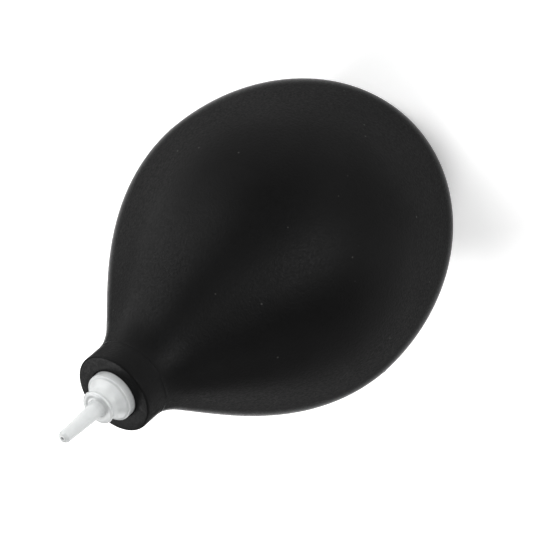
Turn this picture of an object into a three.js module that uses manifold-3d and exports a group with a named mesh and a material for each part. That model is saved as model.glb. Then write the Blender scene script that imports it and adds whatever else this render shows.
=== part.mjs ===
// Dust blower bulb: a soft rubber air bulb with a thick neck, a push-in nozzle
// and a small check valve in its flat base.
// Millimetres. +Z runs along the bulb's axis towards the nozzle, and the origin
// is the centre of the flat base.

import * as THREE from "three";
import { mergeVertices } from "three/addons/utils/BufferGeometryUtils.js";
import Module from "manifold-3d";

const wasm = await Module();
wasm.setup();

// Resolution of the turned surfaces.
const BULB_SEGMENTS = 48;
const BULB_STEPS = 7;
const SMALL_SEGMENTS = 24;
const SMALL_STEPS = 3;
const HOLE_SEGMENTS = 16;
const SQUEEZE_SEGMENTS = 20;
const MERGE_DISTANCE = 1e-4;

// Gap left between pieces that touch on the real object.
const GAP = 0.3;

// Rubber bulb: outside.
const BULB_RADIUS = 29;
const EQUATOR_Z = 32.8;
const REAR_HALF_LENGTH = 36.7;
const BASE_ROUND_HEIGHT = 0.8;
const BELLY_HANDLE = 17;
const SHOULDER_HANDLE = 12.7;
const SHOULDER_ANGLE = THREE.MathUtils.degToRad(32);

// Rubber bulb: thick neck with a round socket for the nozzle.
const NECK_RADIUS = 7.45;
const NECK_TOP_Z = 80.6;
const NECK_FOOT_Z = NECK_TOP_Z - 6.9;
const NECK_EDGE_ROUND = 0.35;
const NECK_BORE_RADIUS = 3.5;
const FLANGE_SEAT_DEPTH = 0.9;

// Rubber bulb: inside.
const WALL = 2.7;
const BASE_WALL = 3.4;
const THROAT_Z = NECK_TOP_Z - 8.9;
const THROAT_HANDLE_Z = 10;
const THROAT_HANDLE_R = 7;

// Inlet port in the base, with a recess that keeps the valve off the table.
const PORT_RADIUS = 4.6;
const PORT_RECESS_RADIUS = 7.3;
const PORT_RECESS_DEPTH = 1.6;

// The two squeeze walls are oval areas of the bulb's wall, seen along Y.
const SQUEEZE_HALF_WIDTH = 17;
const SQUEEZE_HALF_HEIGHT = 20;
const SQUEEZE_CENTRE_Z = 34.5;

// Nozzle: flange, conical hub, tapered tube, and the stem in the neck.
const FLANGE_RADIUS = 4.45;
const FLANGE_PROUD = 1.4;
const FLANGE_ROUND = 0.35;
const HUB_FOOT_RADIUS = 3.8;
const HUB_WAIST_RADIUS = 3.05;
const HUB_TOP_RADIUS = 3.15;
const HUB_REACH = 4.4;
const HUB_ROUND = 0.4;
const HUB_DISH = 0.3;
const TUBE_ROOT_RADIUS = 1.5;
const TUBE_TIP_RADIUS = 1.05;
const TUBE_REACH = 13.6;
const TUBE_TIP_ROUND = 0.4;
const TIP_HOLE_RADIUS = 0.42;
const HUB_BORE_RADIUS = 0.8;
const STEM_BORE_RADIUS = 1.9;
const STEM_LENGTH = 10;
const STEM_CORE_RADIUS = 2.7;
const STEM_END_RADIUS = 2.4;
const BARB_RADIUS = NECK_BORE_RADIUS - GAP;
const BARB_LAND = 0.3;
const BARBS = 3;

// Check valve: a spool-shaped seat in the base and a floating mushroom flap.
const SEAT_FLANGE_RADIUS = PORT_RECESS_RADIUS - GAP;
const SEAT_BARREL_RADIUS = PORT_RADIUS - GAP;
const SEAT_GRIP_RADIUS = 5.4;
const SEAT_GRIP_TOP_RADIUS = 4.6;
const SEAT_FLANGE_THICKNESS = 1.0;
const SEAT_GRIP_THICKNESS = 1.0;
const SEAT_PLATE_THICKNESS = 1.6;
const SEAT_CUP_RADIUS = 3.4;
const AIR_HOLES = 6;
const AIR_HOLE_RADIUS = 0.55;
const AIR_HOLE_PITCH_RADIUS = 2.3;
const HOLE_OVERRUN = 1;
const STEM_HOLE_RADIUS = 0.8;
const FLAP_RADIUS = 3.9;
const FLAP_THICKNESS = 0.7;
const FLAP_RIM_THICKNESS = 0.25;
const FLAP_CROWN_RADIUS = 1.95;
const FLAP_STEM_RADIUS = 0.5;
const FLAP_HEAD_RADIUS = 1.1;
const FLAP_HEAD_LENGTH = 0.9;
const FLAP_LIFT = 0.8;
const FLAP_REST_GAP = 0.2;

const RUBBER = { color: 0x262627, roughness: 0.72, metalness: 0 };
const WHITE_PLASTIC = { color: 0xe9eaea, roughness: 0.38, metalness: 0 };
const SILICONE = { color: 0xc9c7bf, roughness: 0.5, metalness: 0 };

// ---------------------------------------------------------------- solids

function closedGeometry(geometry) {
  geometry.deleteAttribute("normal");
  geometry.deleteAttribute("uv");
  return mergeVertices(geometry, MERGE_DISTANCE);
}

function toManifold(geometry) {
  const merged = closedGeometry(geometry);
  const mesh = new wasm.Mesh({
    numProp: 3,
    vertProperties: new Float32Array(merged.attributes.position.array),
    triVerts: new Uint32Array(merged.index.array),
  });
  return new wasm.Manifold(mesh);
}

function toGeometry(solid) {
  const mesh = solid.getMesh();
  const geometry = new THREE.BufferGeometry();
  geometry.setAttribute("position", new THREE.BufferAttribute(mesh.vertProperties, 3));
  geometry.setIndex(new THREE.BufferAttribute(mesh.triVerts, 1));
  return geometry;
}

// Turns a closed outline of (radius, height) about Z, facing outwards.
function turned(outline, segments, steps) {
  const points = outline.getPoints(steps);
  if (THREE.ShapeUtils.isClockWise(points)) {
    points.reverse();
  }
  const geometry = new THREE.LatheGeometry(points, segments);
  geometry.rotateX(Math.PI / 2);
  return toManifold(geometry);
}

// An upright round bar about a vertical axis at (x, y).
function bar(radius, bottomZ, topZ, x = 0, y = 0) {
  const geometry = new THREE.CylinderGeometry(radius, radius, topZ - bottomZ, HOLE_SEGMENTS);
  geometry.rotateX(Math.PI / 2);
  geometry.translate(x, y, (bottomZ + topZ) / 2);
  return toManifold(geometry);
}

function piece(name, solid, look) {
  const mesh = new THREE.Mesh(toGeometry(solid), new THREE.MeshStandardMaterial(look));
  mesh.name = name;
  return mesh;
}

// ---------------------------------------------------------------- bulb

// Flat base with a rounded edge, then the rear half ellipse up to the equator.
function addRearOutside(path) {
  const depth = (EQUATOR_Z - BASE_ROUND_HEIGHT) / REAR_HALF_LENGTH;
  const startAngle = -Math.asin(depth);
  const joinRadius = BULB_RADIUS * Math.cos(startAngle);
  const slope = (BULB_RADIUS / REAR_HALF_LENGTH) ** 2 * (EQUATOR_Z - BASE_ROUND_HEIGHT) / joinRadius;
  const cornerRadius = joinRadius - BASE_ROUND_HEIGHT * slope;
  const reach = Math.hypot(BASE_ROUND_HEIGHT, joinRadius - cornerRadius);
  path.lineTo(cornerRadius - reach, 0);
  path.quadraticCurveTo(cornerRadius, 0, joinRadius, BASE_ROUND_HEIGHT);
  path.absellipse(0, EQUATOR_Z, BULB_RADIUS, REAR_HALF_LENGTH, startAngle, 0, false);
}

// From the equator over the shoulder to the neck, and round the neck's end face.
function addFrontOutside(path) {
  path.bezierCurveTo(
    BULB_RADIUS,
    EQUATOR_Z + BELLY_HANDLE,
    NECK_RADIUS + SHOULDER_HANDLE * Math.sin(SHOULDER_ANGLE),
    NECK_FOOT_Z - SHOULDER_HANDLE * Math.cos(SHOULDER_ANGLE),
    NECK_RADIUS,
    NECK_FOOT_Z,
  );
  path.lineTo(NECK_RADIUS, NECK_TOP_Z - NECK_EDGE_ROUND);
  path.quadraticCurveTo(NECK_RADIUS, NECK_TOP_Z, NECK_RADIUS - NECK_EDGE_ROUND, NECK_TOP_Z);
}

// Down the nozzle socket, through the air chamber and out of the inlet port.
function addInside(path) {
  const innerRadius = BULB_RADIUS - WALL;
  const innerRear = REAR_HALF_LENGTH - WALL;
  const floorAngle = Math.asin((EQUATOR_Z - BASE_WALL) / innerRear);
  path.lineTo(FLANGE_RADIUS + GAP, NECK_TOP_Z);
  path.lineTo(FLANGE_RADIUS + GAP, NECK_TOP_Z - FLANGE_SEAT_DEPTH);
  path.lineTo(NECK_BORE_RADIUS, NECK_TOP_Z - FLANGE_SEAT_DEPTH);
  path.lineTo(NECK_BORE_RADIUS, THROAT_Z);
  path.bezierCurveTo(
    NECK_BORE_RADIUS + THROAT_HANDLE_R,
    THROAT_Z - THROAT_HANDLE_Z,
    innerRadius,
    EQUATOR_Z + BELLY_HANDLE,
    innerRadius,
    EQUATOR_Z,
  );
  path.absellipse(0, EQUATOR_Z, innerRadius, innerRear, 0, -floorAngle, true);
  path.lineTo(PORT_RADIUS, BASE_WALL);
  path.lineTo(PORT_RADIUS, PORT_RECESS_DEPTH);
  path.lineTo(PORT_RECESS_RADIUS, PORT_RECESS_DEPTH);
  path.lineTo(PORT_RECESS_RADIUS, 0);
}

function wholeBulb() {
  const path = new THREE.Path();
  path.moveTo(PORT_RECESS_RADIUS, 0);
  addRearOutside(path);
  addFrontOutside(path);
  addInside(path);
  return turned(path, BULB_SEGMENTS, BULB_STEPS);
}

// Oval prism along Y that bounds a squeeze wall. turn is 0 for the -Y side.
function squeezePrism(turn, margin) {
  const oval = new THREE.Shape();
  oval.absellipse(
    0,
    SQUEEZE_CENTRE_Z,
    SQUEEZE_HALF_WIDTH + margin,
    SQUEEZE_HALF_HEIGHT + margin,
    0,
    2 * Math.PI,
    false,
  );
  const prism = new THREE.ExtrudeGeometry(oval, {
    depth: BULB_RADIUS + WALL,
    bevelEnabled: false,
    curveSegments: SQUEEZE_SEGMENTS,
  });
  prism.rotateX(Math.PI / 2);
  prism.rotateZ(turn);
  return toManifold(prism);
}

function bulbPieces() {
  const bulb = wholeBulb();
  const shell = bulb.subtract(squeezePrism(0, GAP)).subtract(squeezePrism(Math.PI, GAP));
  return [
    piece("bulb_shell", shell, RUBBER),
    piece("thumb_wall", bulb.intersect(squeezePrism(0, 0)), RUBBER),
    piece("finger_wall", bulb.intersect(squeezePrism(Math.PI, 0)), RUBBER),
  ];
}

// ---------------------------------------------------------------- nozzle

// The barbed stem, from its inner end up to the underside of the flange.
function addStem(path, stemEnd, flangeFoot) {
  const pitch = (flangeFoot - stemEnd) / (BARBS + 1);
  path.lineTo(STEM_END_RADIUS, stemEnd);
  for (let i = 0; i < BARBS; i += 1) {
    const top = stemEnd + (i + 1) * pitch;
    path.lineTo(BARB_RADIUS, top - BARB_LAND);
    path.lineTo(BARB_RADIUS, top);
    path.lineTo(STEM_CORE_RADIUS, top);
  }
  path.lineTo(STEM_CORE_RADIUS, flangeFoot);
}

function addFlange(path, foot, top) {
  path.lineTo(FLANGE_RADIUS, foot);
  path.lineTo(FLANGE_RADIUS, top - FLANGE_ROUND);
  path.quadraticCurveTo(FLANGE_RADIUS, top, FLANGE_RADIUS - FLANGE_ROUND, top);
}

// The hub rises from a hollow foot to a rounded rim with a dished front.
function addHub(path, flangeTop, hubTop) {
  const midZ = (flangeTop + hubTop) / 2;
  path.lineTo(HUB_FOOT_RADIUS, flangeTop);
  path.quadraticCurveTo(HUB_WAIST_RADIUS, flangeTop, HUB_WAIST_RADIUS, midZ);
  path.lineTo(HUB_TOP_RADIUS, hubTop - HUB_ROUND);
  path.quadraticCurveTo(HUB_TOP_RADIUS, hubTop, HUB_TOP_RADIUS - HUB_ROUND, hubTop);
  path.lineTo((HUB_TOP_RADIUS + TUBE_ROOT_RADIUS) / 2, hubTop - HUB_DISH);
  path.lineTo(TUBE_ROOT_RADIUS + HUB_DISH, hubTop - HUB_DISH);
}

function addTube(path, hubTop, tip) {
  path.lineTo(TUBE_ROOT_RADIUS, hubTop);
  path.lineTo(TUBE_TIP_RADIUS, tip - TUBE_TIP_ROUND);
  path.quadraticCurveTo(TUBE_TIP_RADIUS, tip, TUBE_TIP_RADIUS - TUBE_TIP_ROUND, tip);
}

function addNozzleBore(path, hubTop, tip, stemEnd) {
  path.lineTo(TIP_HOLE_RADIUS, tip);
  path.lineTo(HUB_BORE_RADIUS, hubTop);
  path.lineTo(STEM_BORE_RADIUS, hubTop - HUB_REACH);
  path.lineTo(STEM_BORE_RADIUS, stemEnd);
}

function nozzle() {
  const flangeFoot = NECK_TOP_Z - FLANGE_SEAT_DEPTH + GAP;
  const flangeTop = NECK_TOP_Z + FLANGE_PROUD;
  const hubTop = NECK_TOP_Z + HUB_REACH;
  const tip = NECK_TOP_Z + TUBE_REACH;
  const stemEnd = flangeFoot - STEM_LENGTH;
  const path = new THREE.Path();
  path.moveTo(STEM_BORE_RADIUS, stemEnd);
  addStem(path, stemEnd, flangeFoot);
  addFlange(path, flangeFoot, flangeTop);
  addHub(path, flangeTop, hubTop);
  addTube(path, hubTop, tip);
  addNozzleBore(path, hubTop, tip, stemEnd);
  return piece("nozzle", turned(path, SMALL_SEGMENTS, SMALL_STEPS), WHITE_PLASTIC);
}

// ---------------------------------------------------------------- check valve

// Heights of the seat, from its outer flange to the plate that the flap covers.
const seatFoot = PORT_RECESS_DEPTH - GAP - SEAT_FLANGE_THICKNESS;
const seatGripFoot = BASE_WALL + GAP;
const seatTop = seatGripFoot + SEAT_GRIP_THICKNESS;
const plateFoot = seatTop - SEAT_PLATE_THICKNESS;

function valveSeat() {
  const path = new THREE.Path();
  path.moveTo(SEAT_CUP_RADIUS, seatFoot);
  path.lineTo(SEAT_FLANGE_RADIUS, seatFoot);
  path.lineTo(SEAT_FLANGE_RADIUS, seatFoot + SEAT_FLANGE_THICKNESS);
  path.lineTo(SEAT_BARREL_RADIUS, seatFoot + SEAT_FLANGE_THICKNESS);
  path.lineTo(SEAT_BARREL_RADIUS, seatGripFoot);
  path.lineTo(SEAT_GRIP_RADIUS, seatGripFoot);
  path.lineTo(SEAT_GRIP_TOP_RADIUS, seatTop);
  path.lineTo(0, seatTop);
  path.lineTo(0, plateFoot);
  path.lineTo(SEAT_CUP_RADIUS, plateFoot);
  path.lineTo(SEAT_CUP_RADIUS, seatFoot);
  let seat = turned(path, SMALL_SEGMENTS, SMALL_STEPS);
  const low = plateFoot - HOLE_OVERRUN;
  const high = seatTop + HOLE_OVERRUN;
  seat = seat.subtract(bar(STEM_HOLE_RADIUS, low, high));
  for (let i = 0; i < AIR_HOLES; i += 1) {
    const angle = (2 * Math.PI * i) / AIR_HOLES;
    const x = AIR_HOLE_PITCH_RADIUS * Math.cos(angle);
    const y = AIR_HOLE_PITCH_RADIUS * Math.sin(angle);
    seat = seat.subtract(bar(AIR_HOLE_RADIUS, low, high, x, y));
  }
  return piece("valve_seat", seat, WHITE_PLASTIC);
}

// A shallow mushroom whose stem hangs through the seat and ends in a snap head.
function valveFlap() {
  const capFoot = seatTop + FLAP_REST_GAP;
  const headTop = plateFoot - FLAP_LIFT - FLAP_REST_GAP;
  const headFoot = headTop - FLAP_HEAD_LENGTH;
  const path = new THREE.Path();
  path.moveTo(0, headFoot);
  path.lineTo(FLAP_STEM_RADIUS, headFoot);
  path.lineTo(FLAP_HEAD_RADIUS, headTop);
  path.lineTo(FLAP_STEM_RADIUS, headTop);
  path.lineTo(FLAP_STEM_RADIUS, capFoot);
  path.lineTo(FLAP_RADIUS, capFoot);
  path.lineTo(FLAP_RADIUS, capFoot + FLAP_RIM_THICKNESS);
  path.quadraticCurveTo(FLAP_CROWN_RADIUS, capFoot + FLAP_THICKNESS, 0, capFoot + FLAP_THICKNESS);
  return piece("valve_flap", turned(path, SMALL_SEGMENTS, SMALL_STEPS), SILICONE);
}

// ---------------------------------------------------------------- object

const blower = new THREE.Group();
blower.add(...bulbPieces());
blower.add(nozzle());
blower.add(valveSeat());
blower.add(valveFlap());

export default blower;
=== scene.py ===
"""Dust blower bulb: the looks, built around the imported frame.

Metres, in the frame of the CAD: +Z along the bulb's axis towards the nozzle, and the
origin at the centre of the flat base.
"""

import math

import bmesh
import bpy
import numpy as np
from mathutils import Matrix, Vector, noise


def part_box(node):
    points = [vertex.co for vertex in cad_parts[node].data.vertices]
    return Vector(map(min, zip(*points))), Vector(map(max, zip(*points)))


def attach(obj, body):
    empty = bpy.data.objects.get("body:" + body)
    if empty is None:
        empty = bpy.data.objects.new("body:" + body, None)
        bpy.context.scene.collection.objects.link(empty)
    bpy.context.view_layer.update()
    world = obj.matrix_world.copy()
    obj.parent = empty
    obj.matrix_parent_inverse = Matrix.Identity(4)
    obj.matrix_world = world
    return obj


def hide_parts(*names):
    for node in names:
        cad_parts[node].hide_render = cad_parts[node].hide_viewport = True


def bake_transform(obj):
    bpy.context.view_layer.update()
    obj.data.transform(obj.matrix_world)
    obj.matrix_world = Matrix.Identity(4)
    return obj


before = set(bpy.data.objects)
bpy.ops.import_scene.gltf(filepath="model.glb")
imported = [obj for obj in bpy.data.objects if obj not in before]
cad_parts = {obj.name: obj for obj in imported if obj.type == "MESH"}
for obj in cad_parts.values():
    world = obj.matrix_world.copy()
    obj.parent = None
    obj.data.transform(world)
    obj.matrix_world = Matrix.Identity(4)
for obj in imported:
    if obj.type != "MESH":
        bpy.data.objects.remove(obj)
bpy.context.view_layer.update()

MM = 0.001

# ---------------------------------------------------------------- places from the frame

_, shell_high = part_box("bulb_shell")
nozzle_low, nozzle_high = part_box("nozzle")
seat_low, seat_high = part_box("valve_seat")
flap_low, flap_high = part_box("valve_flap")

BULB_RADIUS = shell_high.x
NECK_TOP = shell_high.z
NOZZLE_TIP = nozzle_high.z
NOZZLE_END = nozzle_low.z
FLANGE_RADIUS = nozzle_high.x

# The rubber bulb, outside and inside: the CAD's sizes, with the crease at the neck added.
EQUATOR = 32.8 * MM
REAR_HALF_LENGTH = 36.7 * MM
BELLY_HANDLE = 17 * MM
SHOULDER_HANDLE = 12.7 * MM
SHOULDER_ANGLE = math.radians(32)
NECK_RADIUS = 7.45 * MM
NECK_FOOT = NECK_TOP - 6.9 * MM
NECK_CREASE = NECK_TOP - 4.9 * MM
NECK_BORE = 3.5 * MM
FLANGE_SEAT_DEPTH = 0.9 * MM
WALL = 2.7 * MM
BASE_WALL = 3.4 * MM
THROAT = NECK_TOP - 8.9 * MM
THROAT_HANDLE_Z = 10 * MM
THROAT_HANDLE_R = 7 * MM
PORT_RADIUS = 4.6 * MM
PORT_RECESS_RADIUS = 7.3 * MM
PORT_RECESS_DEPTH = 1.6 * MM

# ---------------------------------------------------------------- outlines

# The most of a side that one fillet may use, so that two fillets never meet.
FILLET_SHARE = 0.49


def bezier(a, b, c, d, steps):
    """Points of a cubic curve, ends included."""
    t = np.linspace(0, 1, steps)[:, None]
    a, b, c, d = (np.array(p, float) for p in (a, b, c, d))
    return (1 - t) ** 3 * a + 3 * (1 - t) ** 2 * t * b + 3 * (1 - t) * t**2 * c + t**3 * d


def bend(a, corner, b, steps):
    """Points of a curve from a to b that leaves and arrives along the lines through the corner."""
    a, corner, b = (np.array(p, float) for p in (a, corner, b))
    return bezier(a, a + (corner - a) * 2 / 3, b + (corner - b) * 2 / 3, b, steps)


def ellipse(centre_z, radius, half_length, start, end, steps):
    """Points (radius, height) of a half ellipse about the axis, between two angles."""
    angle = np.linspace(start, end, steps)
    return np.stack([radius * np.cos(angle), centre_z + half_length * np.sin(angle)], axis=1)


def rounded(corners, steps):
    """An outline through corners (r, z, fillet): each corner with a fillet becomes an arc."""
    out = []
    count = len(corners)
    for i, (r, z, fillet) in enumerate(corners):
        here = np.array([r, z])
        if fillet <= 0:
            out.append(here)
            continue
        before = np.array(corners[i - 1][:2]) - here
        after = np.array(corners[(i + 1) % count][:2]) - here
        room = FILLET_SHARE * min(np.linalg.norm(before), np.linalg.norm(after))
        before = before / np.linalg.norm(before)
        after = after / np.linalg.norm(after)
        half_angle = math.acos(float(np.clip(before @ after, -1, 1))) / 2
        reach = min(fillet / math.tan(half_angle), room)
        start = here + before * reach
        end = here + after * reach
        for t in np.linspace(0, 1, steps):
            out.append((1 - t) ** 2 * start + 2 * (1 - t) * t * here + t**2 * end)
    return np.array(out)


def evenly(points, spacing):
    """The same open line with points no further apart than spacing."""
    out = [points[0]]
    for a, b in zip(points[:-1], points[1:]):
        pieces = max(1, math.ceil(np.linalg.norm(b - a) / spacing))
        out.extend(a + (b - a) * k / pieces for k in range(1, pieces + 1))
    return np.array(out)


# ---------------------------------------------------------------- meshes

WELD_DISTANCE = 1e-7
ON_AXIS = 1e-9


def new_object(name, vertices, faces, sharp_angle=40):
    """A smooth-shaded object in the scene, with edges sharper than sharp_angle degrees kept."""
    mesh = bpy.data.meshes.new(name)
    mesh.from_pydata([tuple(map(float, v)) for v in vertices], [], faces)
    bm = bmesh.new()
    bm.from_mesh(mesh)
    bmesh.ops.remove_doubles(bm, verts=bm.verts, dist=WELD_DISTANCE)
    bmesh.ops.recalc_face_normals(bm, faces=bm.faces)
    bm.to_mesh(mesh)
    bm.free()
    mesh.shade_smooth()
    mesh.set_sharp_from_angle(angle=math.radians(sharp_angle))
    obj = bpy.data.objects.new(name, mesh)
    bpy.context.scene.collection.objects.link(obj)
    return obj


def turned(name, outline, segments):
    """A closed outline (r, z) turned a full circle about Z. It may start and end on the axis."""
    count = len(outline)
    angles = np.linspace(0, 2 * math.pi, segments, endpoint=False)
    vertices = [(r * math.cos(a), r * math.sin(a), z) for a in angles for r, z in outline]
    faces = []
    for s in range(segments):
        near = s * count
        far = ((s + 1) % segments) * count
        for k in range(count):
            m = (k + 1) % count
            on_axis = outline[k][0] < ON_AXIS and outline[m][0] < ON_AXIS
            if not on_axis:
                faces.append((near + k, far + k, far + m, near + m))
    return new_object(name, vertices, faces)


# ---------------------------------------------------------------- materials

# Noise runs from 0 to 1 but mostly stays between these, so a blend of two looks uses them.
NOISE_LOW = 0.3
NOISE_HIGH = 0.7
# How much of a speck's radius is solid, and how sharply a cell is chosen to hold one.
SPECK_CORE = 0.6
SPECK_CHOICE_WIDTH = 0.01

RUBBER_DARK = (0.0045, 0.0045, 0.0046)
RUBBER_LIGHT = (0.0075, 0.0075, 0.0077)
RUBBER_IOR = 1.23
STIPPLE_SCALE = 2300
STIPPLE_HEIGHT = 0.045 * MM
PEEL_SCALE = 700
PEEL_HEIGHT = 0.02 * MM
GRAIN_LOW = 0.36
GRAIN_HIGH = 0.54
# What the roughness gains towards grazing angles, and loses again in a thin rim at the edge.
EDGE_BLUR = 0.35
RIM_GLOSS = 0.45
DUST_COLOUR = (0.05, 0.05, 0.048, 1)
DUST_SCALE = 260
DUST_RADIUS = 0.055
DUST_LEFT_OUT = 0.2

# The plastics are greyer than the real white, so that their shading shows in this light.
NOZZLE_WHITE = ((0.47, 0.48, 0.48), (0.51, 0.52, 0.52))
VALVE_WHITE = ((0.6, 0.61, 0.61), (0.66, 0.67, 0.67))
PLASTIC_ROUGHNESS = (0.3, 0.42)
PLASTIC_GRAIN_HEIGHT = 0.008 * MM
PLASTIC_SCATTER = 0.1
PLASTIC_SCATTER_DEPTH = 0.8 * MM
SILICONE_DARK = (0.55, 0.54, 0.5)
SILICONE_LIGHT = (0.66, 0.64, 0.6)
SILICONE_ROUGHNESS = (0.4, 0.5)
SILICONE_SCATTER = 0.3
SILICONE_SCATTER_DEPTH = 1.5 * MM
FLOOR_DARK = (0.93, 0.93, 0.93)
FLOOR_LIGHT = (0.95, 0.95, 0.95)
FLOOR_ROUGHNESS = 0.8
FLOOR_GLOSS = 0.1
FLOOR_EMISSION = 0.3


class Nodes:
    """A node material under construction, with short calls for what the materials here share."""

    def __init__(self, name):
        self.material = bpy.data.materials.new(name)
        self.material.use_nodes = True
        self.tree = self.material.node_tree
        self.shader = self.tree.nodes["Principled BSDF"]
        self.place = self.add("ShaderNodeTexCoord").outputs["Object"]

    def add(self, kind, **settings):
        node = self.tree.nodes.new(kind)
        for key, value in settings.items():
            setattr(node, key, value)
        return node

    def link(self, a, b):
        self.tree.links.new(a, b)

    def noise(self, scale, detail=2.0, roughness=0.5):
        node = self.add("ShaderNodeTexNoise")
        node.inputs["Scale"].default_value = scale
        node.inputs["Detail"].default_value = detail
        node.inputs["Roughness"].default_value = roughness
        self.link(self.place, node.inputs["Vector"])
        return node.outputs["Fac"]

    def ramp(self, value, low, high, low_at=0.0, high_at=1.0):
        """A colour that runs from low to high as value goes from low_at to high_at."""
        node = self.add("ShaderNodeValToRGB")
        node.color_ramp.elements[0].position = low_at
        node.color_ramp.elements[0].color = (*low, 1)
        node.color_ramp.elements[1].position = high_at
        node.color_ramp.elements[1].color = (*high, 1)
        self.link(value, node.inputs["Fac"])
        return node.outputs["Color"]

    def span(self, value, low, high, low_at=0.0, high_at=1.0):
        """A number that runs from low to high as value goes from low_at to high_at."""
        node = self.add("ShaderNodeMapRange")
        node.inputs["From Min"].default_value = low_at
        node.inputs["From Max"].default_value = high_at
        node.inputs["To Min"].default_value = low
        node.inputs["To Max"].default_value = high
        self.link(value, node.inputs["Value"])
        return node.outputs["Result"]

    def sum(self, a, b):
        node = self.add("ShaderNodeMath", operation="ADD")
        self.link(a, node.inputs[0])
        self.link(b, node.inputs[1])
        return node.outputs[0]

    def specks(self, scale, radius, share_left_out):
        """A mask of small round specks, one in some of the cells of a lattice of that scale."""
        cells = self.add("ShaderNodeTexVoronoi")
        cells.inputs["Scale"].default_value = scale
        self.link(self.place, cells.inputs["Vector"])
        parts = self.add("ShaderNodeSeparateColor")
        self.link(cells.outputs["Color"], parts.inputs["Color"])
        all_in = share_left_out + SPECK_CHOICE_WIDTH
        chosen = self.span(parts.outputs["Red"], 0.0, 1.0, share_left_out, all_in)
        near = self.span(cells.outputs["Distance"], 1.0, 0.0, radius * SPECK_CORE, radius)
        both = self.add("ShaderNodeMath", operation="MULTIPLY")
        self.link(chosen, both.inputs[0])
        self.link(near, both.inputs[1])
        return both.outputs[0]

    def bump(self, height, distance, normal=None):
        """A relief of that height and distance, on top of another bump's normal if one is given."""
        node = self.add("ShaderNodeBump")
        node.inputs["Distance"].default_value = distance
        node.inputs["Strength"].default_value = 1.0
        self.link(height, node.inputs["Height"])
        if normal is not None:
            self.link(normal, node.inputs["Normal"])
        return node.outputs["Normal"]


def rubber_material():
    """Matte black moulded rubber: fine stipple, faint cloudiness and a few specks of dust."""
    n = Nodes("black_rubber")
    cloud = n.noise(70, detail=3)
    stipple = n.noise(STIPPLE_SCALE, detail=2, roughness=0.6)
    peel = n.noise(PEEL_SCALE, detail=2)
    base = n.ramp(cloud, RUBBER_DARK, RUBBER_LIGHT, 0.35, NOISE_HIGH)
    mix = n.add("ShaderNodeMix", data_type="RGBA")
    n.link(n.specks(DUST_SCALE, DUST_RADIUS, DUST_LEFT_OUT), mix.inputs["Factor"])
    n.link(base, mix.inputs["A"])
    mix.inputs["B"].default_value = DUST_COLOUR
    n.link(mix.outputs["Result"], n.shader.inputs["Base Color"])
    facing = n.add("ShaderNodeLayerWeight").outputs["Facing"]
    blurred = n.span(facing, 0.0, EDGE_BLUR, low_at=0.4, high_at=0.8)
    rim = n.span(facing, 0.0, -RIM_GLOSS, low_at=0.76, high_at=0.92)
    grain = n.span(stipple, GRAIN_LOW, GRAIN_HIGH, NOISE_LOW, NOISE_HIGH)
    n.link(n.sum(n.sum(grain, blurred), rim), n.shader.inputs["Roughness"])
    n.shader.inputs["IOR"].default_value = RUBBER_IOR
    rough = n.bump(stipple, STIPPLE_HEIGHT)
    n.link(n.bump(peel, PEEL_HEIGHT, normal=rough), n.shader.inputs["Normal"])
    return n.material


def plastic_material(name, low, high):
    """White moulded plastic: satin, a little translucent, with faint flow marks."""
    n = Nodes(name)
    cloud = n.noise(300, detail=3)
    grain = n.noise(3000, detail=2)
    n.link(n.ramp(cloud, low, high, NOISE_LOW, NOISE_HIGH), n.shader.inputs["Base Color"])
    n.link(n.span(grain, *PLASTIC_ROUGHNESS, NOISE_LOW, NOISE_HIGH), n.shader.inputs["Roughness"])
    n.shader.inputs["Subsurface Weight"].default_value = PLASTIC_SCATTER
    n.shader.inputs["Subsurface Radius"].default_value = (1, 1, 1)
    n.shader.inputs["Subsurface Scale"].default_value = PLASTIC_SCATTER_DEPTH
    n.link(n.bump(grain, PLASTIC_GRAIN_HEIGHT), n.shader.inputs["Normal"])
    return n.material


def silicone_material():
    """Milky silicone of the valve flap."""
    n = Nodes("milky_silicone")
    cloud = n.noise(500, detail=3)
    colour = n.ramp(cloud, SILICONE_DARK, SILICONE_LIGHT, NOISE_LOW, NOISE_HIGH)
    n.link(colour, n.shader.inputs["Base Color"])
    n.link(n.span(cloud, *SILICONE_ROUGHNESS, NOISE_LOW, NOISE_HIGH), n.shader.inputs["Roughness"])
    n.shader.inputs["Subsurface Weight"].default_value = SILICONE_SCATTER
    n.shader.inputs["Subsurface Radius"].default_value = (1, 1, 0.9)
    n.shader.inputs["Subsurface Scale"].default_value = SILICONE_SCATTER_DEPTH
    return n.material


def floor_material():
    """Plain pale floor that glows a little, so that it comes near white."""
    n = Nodes("pale_floor")
    cloud = n.noise(6, detail=2)
    n.link(n.ramp(cloud, FLOOR_DARK, FLOOR_LIGHT), n.shader.inputs["Base Color"])
    n.shader.inputs["Roughness"].default_value = FLOOR_ROUGHNESS
    n.shader.inputs["Specular IOR Level"].default_value = FLOOR_GLOSS
    n.shader.inputs["Emission Color"].default_value = (1, 1, 1, 1)
    n.shader.inputs["Emission Strength"].default_value = FLOOR_EMISSION
    return n.material


# ---------------------------------------------------------------- the rubber bulb

OUTSIDE_SPACING = 0.6 * MM
INSIDE_SPACING = 2.0 * MM
SEAM_OFFSETS = np.array([0, 0.25, 0.6, 1.1]) * MM
HALF_COLUMNS = 120
BASE_FILLET = 2.2 * MM
NECK_EDGE_FILLET = 0.4 * MM
FLANGE_CLEARANCE = 0.12 * MM
# The shoulder flares into the neck, and meets it in a shallow crease with a hair of flash.
FLARE_REACH = 5.0 * MM
FLARE_CORNER = 1.2 * MM
CREASE_FLASH = 0.09 * MM
CREASE_FLASH_WIDTH = 0.22 * MM
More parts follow.
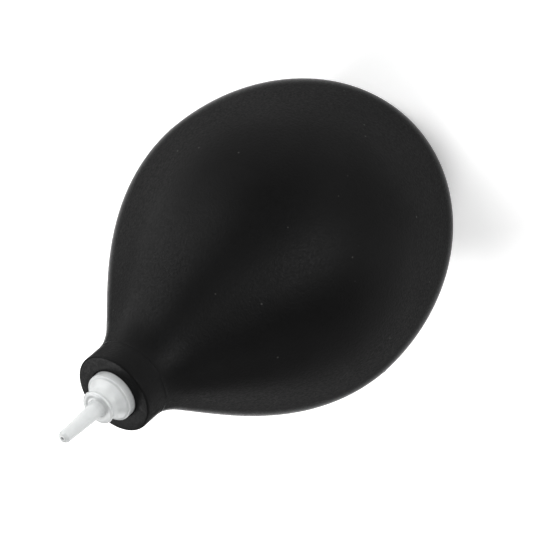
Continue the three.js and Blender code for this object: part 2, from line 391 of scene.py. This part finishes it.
# The parting line's flash starts above the base, stops at the neck and waves along its length.
FLASH = 0.012 * MM
FLASH_FOOT = 4 * MM
FLASH_LEAST_RADIUS = 0.98 * NECK_RADIUS
FLASH_WAVES = 420
NICK_HEIGHT = 0.1 * MM
NICK_LENGTH = 0.7 * MM
# How far a squeeze reaches round the dent's centre, as half sizes along X and Z, and the
# share of that reach that moves fully with the wall.
THUMB_FLAT = 0.22
FINGER_FLAT = 0.34


def flared_shoulder():
    """Points (r, z) from the equator over the shoulder to the crease at the neck."""
    corner = np.array([NECK_RADIUS, NECK_FOOT])
    away = np.array([math.sin(SHOULDER_ANGLE), -math.cos(SHOULDER_ANGLE)])
    equator = (BULB_RADIUS, EQUATOR)
    belly = (BULB_RADIUS, EQUATOR + BELLY_HANDLE)
    front = bezier(equator, belly, corner + SHOULDER_HANDLE * away, corner, 70)
    front = front[np.linalg.norm(front - corner, axis=1) > FLARE_REACH]
    flare = bend(front[-1], corner + FLARE_CORNER * away, (NECK_RADIUS, NECK_CREASE), 14)
    return np.concatenate([front, flare[1:-1]])


def bulb_outline():
    """The outside of the bulb's section (r, z), from the inlet port's recess to the nozzle's seat."""
    floor_angle = math.asin(EQUATOR / REAR_HALF_LENGTH)
    rear = ellipse(EQUATOR, BULB_RADIUS, REAR_HALF_LENGTH, -floor_angle, 0, 60)
    corners = [(PORT_RECESS_RADIUS, 0, 0.3 * MM), (*rear[0], BASE_FILLET)]
    corners += [(r, z, 0) for r, z in rear[2:]]
    corners += [(r, z, 0) for r, z in flared_shoulder()[1:]]
    flash = CREASE_FLASH_WIDTH
    corners += [
        (NECK_RADIUS, NECK_CREASE, 0),
        (NECK_RADIUS + CREASE_FLASH, NECK_CREASE + flash, 0.05 * MM),
        (NECK_RADIUS, NECK_CREASE + 2 * flash, 0),
        (NECK_RADIUS, NECK_TOP, NECK_EDGE_FILLET),
        (FLANGE_RADIUS + FLANGE_CLEARANCE, NECK_TOP, 0.2 * MM),
        (FLANGE_RADIUS + FLANGE_CLEARANCE, NECK_TOP - FLANGE_SEAT_DEPTH, 0),
    ]
    return evenly(rounded(corners, 6), OUTSIDE_SPACING)


def inside_outline():
    """The inside of the section, from the nozzle's seat down to the inlet port's recess."""
    radius = BULB_RADIUS - WALL
    half_length = REAR_HALF_LENGTH - WALL
    floor_angle = math.asin((EQUATOR - BASE_WALL) / half_length)
    throat = np.array([NECK_BORE, THROAT])
    handle = throat + np.array([THROAT_HANDLE_R, -THROAT_HANDLE_Z])
    belly = np.array([radius, EQUATOR + BELLY_HANDLE])
    points = [[NECK_BORE, NECK_TOP - FLANGE_SEAT_DEPTH]]
    points += list(bezier(throat, handle, belly, [radius, EQUATOR], 30))
    points += list(ellipse(EQUATOR, radius, half_length, 0, -floor_angle, 24)[1:])
    points += [
        [PORT_RADIUS, BASE_WALL],
        [PORT_RADIUS, PORT_RECESS_DEPTH],
        [PORT_RECESS_RADIUS, PORT_RECESS_DEPTH],
    ]
    return evenly(np.array(points), INSIDE_SPACING)


def column_angles(radius):
    """Angles from seam to seam over half a ring: fixed distances by each seam, even steps between."""
    near = SEAM_OFFSETS / max(radius, 2 * MM)
    middle = np.linspace(near[-1], math.pi - near[-1], HALF_COLUMNS)
    return np.concatenate([near[:-1], middle, math.pi - near[-2::-1]])


def flash_height(z):
    """The mould's parting line: a hair of rubber, and one torn nick at the widest ring."""
    wave = noise.noise(Vector((z * FLASH_WAVES, 3.1, 0.7)))
    nick = math.exp(-(((z - EQUATOR) / NICK_LENGTH) ** 2))
    return FLASH * (1 + 0.5 * wave) + NICK_HEIGHT * nick


def bulb_half(name, side):
    """Half of the bulb's moulding, closed along the seam: side is -1 or 1, its side of Y."""
    outside = bulb_outline()
    outline = np.concatenate([outside, inside_outline()])
    count = len(outline)
    vertices = []
    columns = len(column_angles(1.0))
    for k, (r, z) in enumerate(outline):
        along = outline[(k + 1) % count] - outline[k - 1]
        normal = np.array([along[1], -along[0]]) / max(np.linalg.norm(along), ON_AXIS)
        proud = k < len(outside) and z > FLASH_FOOT and r > FLASH_LEAST_RADIUS
        for c, a in enumerate(column_angles(r)):
            lift = flash_height(z) if proud and c in (0, columns - 1) else 0.0
            rr = r + normal[0] * lift
            zz = z + normal[1] * lift
            vertices.append((rr * math.cos(a), side * rr * math.sin(a), zz))
    faces = []
    for k in range(count):
        m = (k + 1) % count
        for c in range(columns - 1):
            faces.append((k * columns + c, k * columns + c + 1, m * columns + c + 1, m * columns + c))
    faces.append(tuple(k * columns for k in range(count)))
    faces.append(tuple(k * columns + columns - 1 for k in reversed(range(count))))
    return new_object(name, vertices, faces, sharp_angle=50)


def dent(obj):
    """Bakes the object's placement into its mesh; the wall is left undented."""
    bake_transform(obj)


def make_bulb(rubber):
    """The two halves of the moulding, in place of the CAD's shell and squeeze walls."""
    for name, side, body, flat, node in (
        ("bulb_thumb_half", -1, "thumb_side", THUMB_FLAT, "thumb_wall"),
        ("bulb_finger_half", 1, "finger_side", FINGER_FLAT, "finger_wall"),
    ):
        half = bulb_half(name, side)
        half.data.materials.append(rubber)
        dent(half)
        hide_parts("bulb_shell", node)


# ---------------------------------------------------------------- the nozzle

FLANGE_PROUD = 1.4 * MM
HUB_REACH = 4.4 * MM
HUB_FOOT_RADIUS = 4.0 * MM
HUB_WAIST_RADIUS = 2.85 * MM
HUB_TOP_RADIUS = 3.15 * MM
RIM_INNER_RADIUS = 2.45 * MM
DISH_RADIUS = 2.05 * MM
DISH_DEPTH = 0.07 * MM
TUBE_ROOT_RADIUS = 1.47 * MM
TUBE_TIP_RADIUS = 1.1 * MM
TIP_HOLE_RADIUS = 0.28 * MM
HUB_BORE_RADIUS = 0.8 * MM
STEM_BORE_RADIUS = 1.9 * MM
STEM_CORE_RADIUS = 2.7 * MM
STEM_END_RADIUS = 2.4 * MM
BARB_RADIUS = 3.2 * MM
BARBS = 3
NOZZLE_GAP = 0.3 * MM


def stem_corners(foot):
    """The barbed stem, from its inner end up to the underside of the flange."""
    pitch = (foot - NOZZLE_END) / (BARBS + 1)
    corners = [
        (STEM_BORE_RADIUS, NOZZLE_END, 0.2 * MM),
        (STEM_END_RADIUS, NOZZLE_END, 0.2 * MM),
    ]
    for i in range(BARBS):
        z = NOZZLE_END + (i + 1) * pitch
        corners += [(BARB_RADIUS, z, 0.12 * MM), (STEM_CORE_RADIUS, z, 0.15 * MM)]
    return corners + [(STEM_CORE_RADIUS, foot, 0.2 * MM)]


def nozzle_outline():
    """The nozzle's closed section: stem, flange, waisted hub with its dish, tube and bore."""
    foot = NECK_TOP - FLANGE_SEAT_DEPTH + NOZZLE_GAP
    top = NECK_TOP + FLANGE_PROUD
    hub = NECK_TOP + HUB_REACH
    corners = stem_corners(foot) + [
        (FLANGE_RADIUS, foot, 0.15 * MM),
        (FLANGE_RADIUS, top - 0.1 * MM, 0.3 * MM),
        (HUB_FOOT_RADIUS, top, 0.5 * MM),
        (HUB_WAIST_RADIUS + 0.2 * MM, top + 1.2 * MM, 1.2 * MM),
        (HUB_WAIST_RADIUS, hub - 0.85 * MM, 0.4 * MM),
        (HUB_TOP_RADIUS, hub - 0.35 * MM, 0.25 * MM),
        (HUB_TOP_RADIUS - 0.1 * MM, hub, 0.3 * MM),
        (RIM_INNER_RADIUS, hub, 0.25 * MM),
        (DISH_RADIUS, hub - DISH_DEPTH, 0.2 * MM),
        (TUBE_ROOT_RADIUS + 0.12 * MM, hub - DISH_DEPTH, 0.55 * MM),
        (TUBE_ROOT_RADIUS - 0.04 * MM, hub + 1.0 * MM, 0.8 * MM),
        (TUBE_TIP_RADIUS, NOZZLE_TIP - 0.5 * MM, 0.4 * MM),
        (TUBE_TIP_RADIUS - 0.35 * MM, NOZZLE_TIP - 0.05 * MM, 0.3 * MM),
        (TIP_HOLE_RADIUS, NOZZLE_TIP, 0.1 * MM),
        (HUB_BORE_RADIUS, hub, 0),
        (STEM_BORE_RADIUS, NECK_TOP, 0),
    ]
    return rounded(corners, 7)


def rigid_piece(piece, body, node, material):
    """A finished moulding that stands for a CAD node of the same body."""
    piece.data.materials.append(material)
    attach(piece, body)
    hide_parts(node)


def make_nozzle(plastic):
    nozzle = turned("nozzle_moulding", nozzle_outline(), 96)
    rigid_piece(nozzle, "nozzle", "nozzle", plastic)


# ---------------------------------------------------------------- the check valve

SEAT_GRIP_FOOT = 3.7 * MM
SEAT_BARREL_RADIUS = 4.3 * MM
SEAT_GRIP_RADIUS = 5.4 * MM
SEAT_GRIP_TOP_RADIUS = 4.6 * MM
SEAT_FLANGE_THICKNESS = 1.0 * MM
SEAT_CUP_RADIUS = 3.4 * MM
PLATE_THICKNESS = 1.6 * MM
AIR_HOLES = 6
AIR_HOLE_RADIUS = 0.55 * MM
AIR_HOLE_PITCH_RADIUS = 2.3 * MM
STEM_HOLE_RADIUS = 0.8 * MM
FLAP_STEM_RADIUS = 0.5 * MM
FLAP_HEAD_RADIUS = 1.1 * MM
FLAP_HEAD_LENGTH = 0.9 * MM
FLAP_REST_GAP = 0.2 * MM
DRILL_OVERRUN = 1 * MM
DRILL_SIDES = 32


def drill_holes(piece, holes):
    """Cuts round holes through the valve seat, along Z: each is (x, y, radius)."""
    bottom = seat_low.z - DRILL_OVERRUN
    top = seat_high.z + DRILL_OVERRUN
    for x, y, radius in holes:
        section = [(0, bottom), (radius, bottom), (radius, top), (0, top)]
        drill = turned("drill", section, DRILL_SIDES)
        drill.data.transform(Matrix.Translation((x, y, 0)))
        cut = piece.modifiers.new("hole", "BOOLEAN")
        cut.operation = "DIFFERENCE"
        cut.object = drill
        graph = bpy.context.evaluated_depsgraph_get()
        mesh = bpy.data.meshes.new_from_object(piece.evaluated_get(graph))
        piece.modifiers.clear()
        piece.data = mesh
        bpy.data.objects.remove(drill)
    piece.data.shade_smooth()
    piece.data.set_sharp_from_angle(angle=math.radians(35))


def seat_outline():
    """The seat's section: a spool with a cup under its plate, a groove in its flange and a grip."""
    foot, top = seat_low.z, seat_high.z
    plate = top - PLATE_THICKNESS
    rim = seat_high.x
    corners = [
        (0, plate, 0),
        (SEAT_CUP_RADIUS, plate, 0.25 * MM),
        (SEAT_CUP_RADIUS + 0.15 * MM, foot, 0.3 * MM),
        (rim - 1.4 * MM, foot, 0.12 * MM),
        (rim - 1.3 * MM, foot + 0.15 * MM, 0.08 * MM),
        (rim - 0.9 * MM, foot + 0.15 * MM, 0.08 * MM),
        (rim - 0.8 * MM, foot, 0.12 * MM),
        (rim, foot, 0.3 * MM),
        (rim, foot + SEAT_FLANGE_THICKNESS, 0.2 * MM),
        (SEAT_BARREL_RADIUS, foot + SEAT_FLANGE_THICKNESS, 0.15 * MM),
        (SEAT_BARREL_RADIUS, SEAT_GRIP_FOOT, 0.1 * MM),
        (SEAT_GRIP_RADIUS, SEAT_GRIP_FOOT, 0.12 * MM),
        (SEAT_GRIP_TOP_RADIUS, top, 0.2 * MM),
        (0, top, 0),
    ]
    return rounded(corners, 6)


def flap_outline():
    """The flap's section: retaining head, stem and a thin domed cap."""
    foot, top = flap_low.z, flap_high.z
    cap_foot = seat_high.z + FLAP_REST_GAP
    head_top = foot + FLAP_HEAD_LENGTH
    rim = flap_high.x
    corners = [
        (0, foot, 0),
        (FLAP_STEM_RADIUS, foot, 0.2 * MM),
        (FLAP_HEAD_RADIUS, head_top - 0.1 * MM, 0.15 * MM),
        (FLAP_HEAD_RADIUS - 0.05 * MM, head_top, 0.05 * MM),
        (FLAP_STEM_RADIUS, head_top, 0.1 * MM),
        (FLAP_STEM_RADIUS, cap_foot, 0.2 * MM),
        (rim, cap_foot, 0.08 * MM),
        (rim, cap_foot + 0.22 * MM, 0.1 * MM),
    ]
    crown = bend((rim - 0.1 * MM, cap_foot + 0.25 * MM), (rim / 2, top), (0, top), 12)
    return np.concatenate([rounded(corners, 5), crown[1:]])


def make_valve(plastic, silicone):
    """The seat with its ring of air holes, and the flap whose stem goes through the middle."""
    seat = turned("valve_seat_moulding", seat_outline(), 96)
    turn = 2 * math.pi / AIR_HOLES
    holes = [(0, 0, STEM_HOLE_RADIUS)]
    for i in range(AIR_HOLES):
        x = AIR_HOLE_PITCH_RADIUS * math.cos(i * turn)
        y = AIR_HOLE_PITCH_RADIUS * math.sin(i * turn)
        holes.append((x, y, AIR_HOLE_RADIUS))
    drill_holes(seat, holes)
    rigid_piece(seat, "bulb", "valve_seat", plastic)
    flap = turned("valve_flap_moulding", flap_outline(), 72)
    rigid_piece(flap, "flap", "valve_flap", silicone)


# ---------------------------------------------------------------- floor, lights and camera

CAMERA_ELEVATION = math.radians(39.3)
CAMERA_ROLL = math.radians(-131.5)
CAMERA_DISTANCE = 461.2 * MM
CAMERA_LENS = 167.6
CAMERA_CLIP_START = 0.01
BULB_RIGHT_OF_CENTRE = 0.48 * MM
BULB_ABOVE_CENTRE = 4.58 * MM


def camera_axes():
    """Right, up and back of the camera: level at first, then turned about its line of sight."""
    back = Vector((0, -math.cos(CAMERA_ELEVATION), math.sin(CAMERA_ELEVATION)))
    level_right = Vector((1, 0, 0))
    level_up = back.cross(level_right)
    right = math.cos(CAMERA_ROLL) * level_right + math.sin(CAMERA_ROLL) * level_up
    return right, back.cross(right), back


def make_camera():
    right, up, back = camera_axes()
    centre = Vector((0, 0, EQUATOR))
    camera = bpy.data.objects.new("camera", bpy.data.cameras.new("camera"))
    bpy.context.scene.collection.objects.link(camera)
    camera.data.lens = CAMERA_LENS
    camera.data.clip_start = CAMERA_CLIP_START
    place = centre + back * CAMERA_DISTANCE - right * BULB_RIGHT_OF_CENTRE - up * BULB_ABOVE_CENTRE
    camera.matrix_world = Matrix.Translation(place) @ Matrix((right, up, back)).transposed().to_4x4()
    bpy.context.scene.camera = camera


# Soft boxes, placed as seen from the camera: name, clock angle in degrees round its line of
# sight (0 is right, 90 is up), angle in degrees away from the camera, and power in watts.
SOFTBOXES = (
    ("key_high", 150, 60, 2.0),
    ("key_middle", 150, 75, 3.6),
    ("key_low", 151, 99, 2.6),
    ("key_front", 137, 48, 3.4),
    ("back_light", 210, 100, 6.6),
    ("side_back", 269, 118, 3.0),
    ("side_high", 270, 60, 2.5),
    ("side_low", 300, 70, 1.0),
    ("front_fill", 0, 30, 5.6),
    ("camera_fill", 0, 0, 2.4),
)
SOFTBOX_DISTANCE = 1.1
SOFTBOX_SIZE = 0.5
FLOOR_HALF_SIZE = 3.0
FLOOR_DROP = 0.05 * MM
WORLD_STRENGTH = 0.14
VIEW_GAMMA = 0.8


def area_light(name, clock, away, power):
    """A square soft box that faces the bulb, at two angles from the camera's line of sight."""
    right, up, back = camera_axes()
    data = bpy.data.lights.new(name, "AREA")
    data.size = SOFTBOX_SIZE
    data.energy = power
    light = bpy.data.objects.new(name, data)
    bpy.context.scene.collection.objects.link(light)
    sideways = math.cos(math.radians(clock)) * right + math.sin(math.radians(clock)) * up
    towards = math.sin(math.radians(away)) * sideways + math.cos(math.radians(away)) * back
    light.location = Vector((0, 0, EQUATOR)) + towards * SOFTBOX_DISTANCE
    light.rotation_mode = "QUATERNION"
    light.rotation_quaternion = towards.to_track_quat("Z", "Y")


def make_floor():
    half = FLOOR_HALF_SIZE
    corners = [(-half, -half, 0), (half, -half, 0), (half, half, 0), (-half, half, 0)]
    floor = new_object("floor", corners, [(0, 1, 2, 3)])
    floor.location.z = -FLOOR_DROP
    floor.data.materials.append(floor_material())


def make_stage():
    """Floor, even white surroundings, the view's contrast and the soft boxes."""
    make_floor()
    world = bpy.data.worlds.new("studio")
    world.use_nodes = True
    background = world.node_tree.nodes["Background"]
    background.inputs["Color"].default_value = (1, 1, 1, 1)
    background.inputs["Strength"].default_value = WORLD_STRENGTH
    bpy.context.scene.world = world
    bpy.context.scene.view_settings.view_transform = "Standard"
    bpy.context.scene.view_settings.gamma = VIEW_GAMMA
    for name, clock, away, power in SOFTBOXES:
        area_light(name, clock, away, power)


make_camera()
make_stage()
make_bulb(rubber_material())
make_nozzle(plastic_material("white_plastic", *NOZZLE_WHITE))
make_valve(plastic_material("valve_plastic", *VALVE_WHITE), silicone_material())
